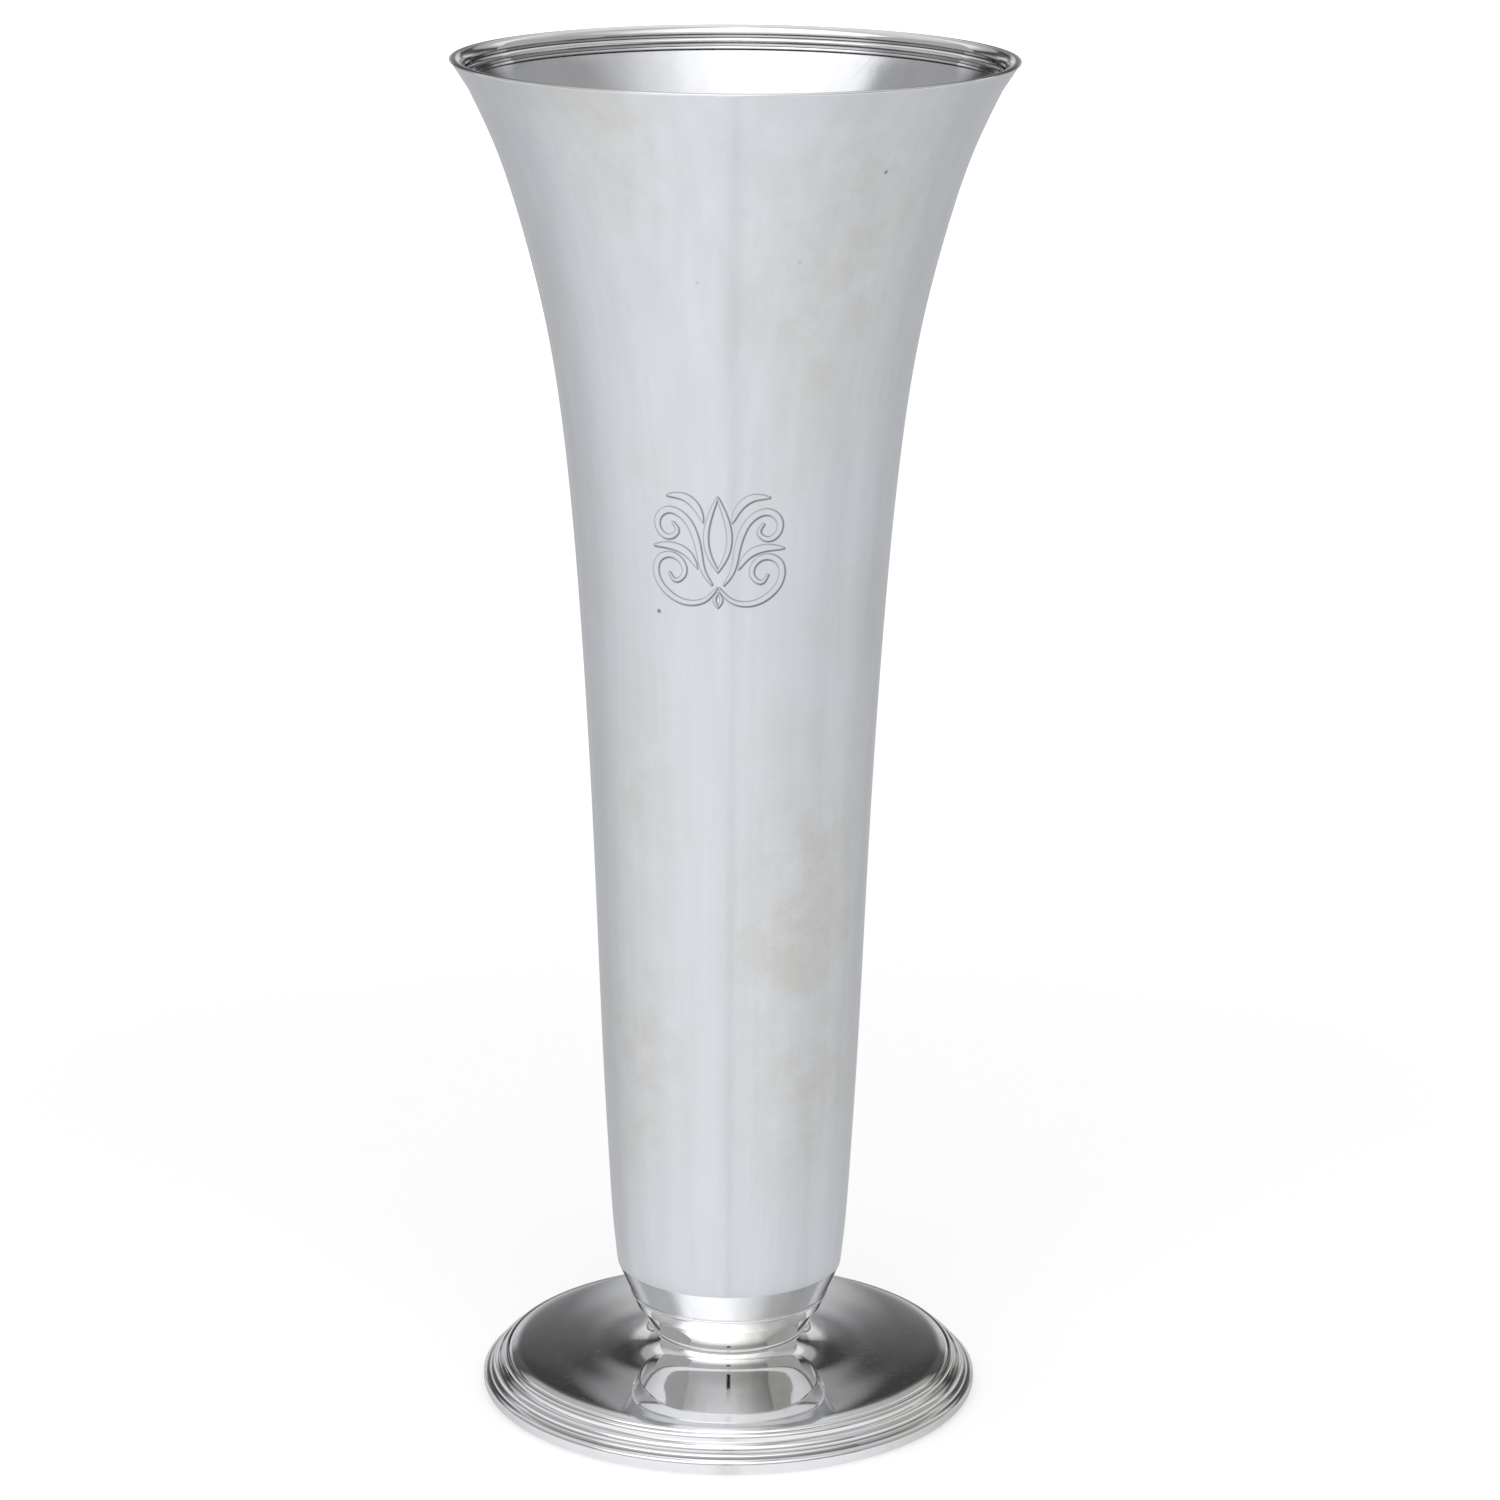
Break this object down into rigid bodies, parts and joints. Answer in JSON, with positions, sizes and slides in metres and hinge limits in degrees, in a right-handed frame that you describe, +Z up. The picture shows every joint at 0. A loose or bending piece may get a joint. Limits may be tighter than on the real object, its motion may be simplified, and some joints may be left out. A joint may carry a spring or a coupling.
{
  "type": "trumpet vase",
  "caption": "Silver trumpet vase: slender body flaring to a reeded lip, short waisted neck and a domed round foot with a reeded border",
  "frame": {"origin": "centre of the foot's underside, on the table", "axes": "+Z up along the axis of the vase, +Y away from the viewer, +X to the viewer's right"},
  "size_m": [0.1436, 0.1436, 0.3556],
  "materials": {
    "satin_silver": "satin",
    "polished_silver": "polished"
  },
  "bodies": {
    "root": {"trumpet_body": "satin_silver", "rim_moulding": "polished_silver", "body_floor": "satin_silver", "neck_collar": "polished_silver", "neck_spool": "polished_silver", "locating_ring": "polished_silver", "foot_dome": "polished_silver", "foot_border": "polished_silver"}
  },
  "joints": []
}
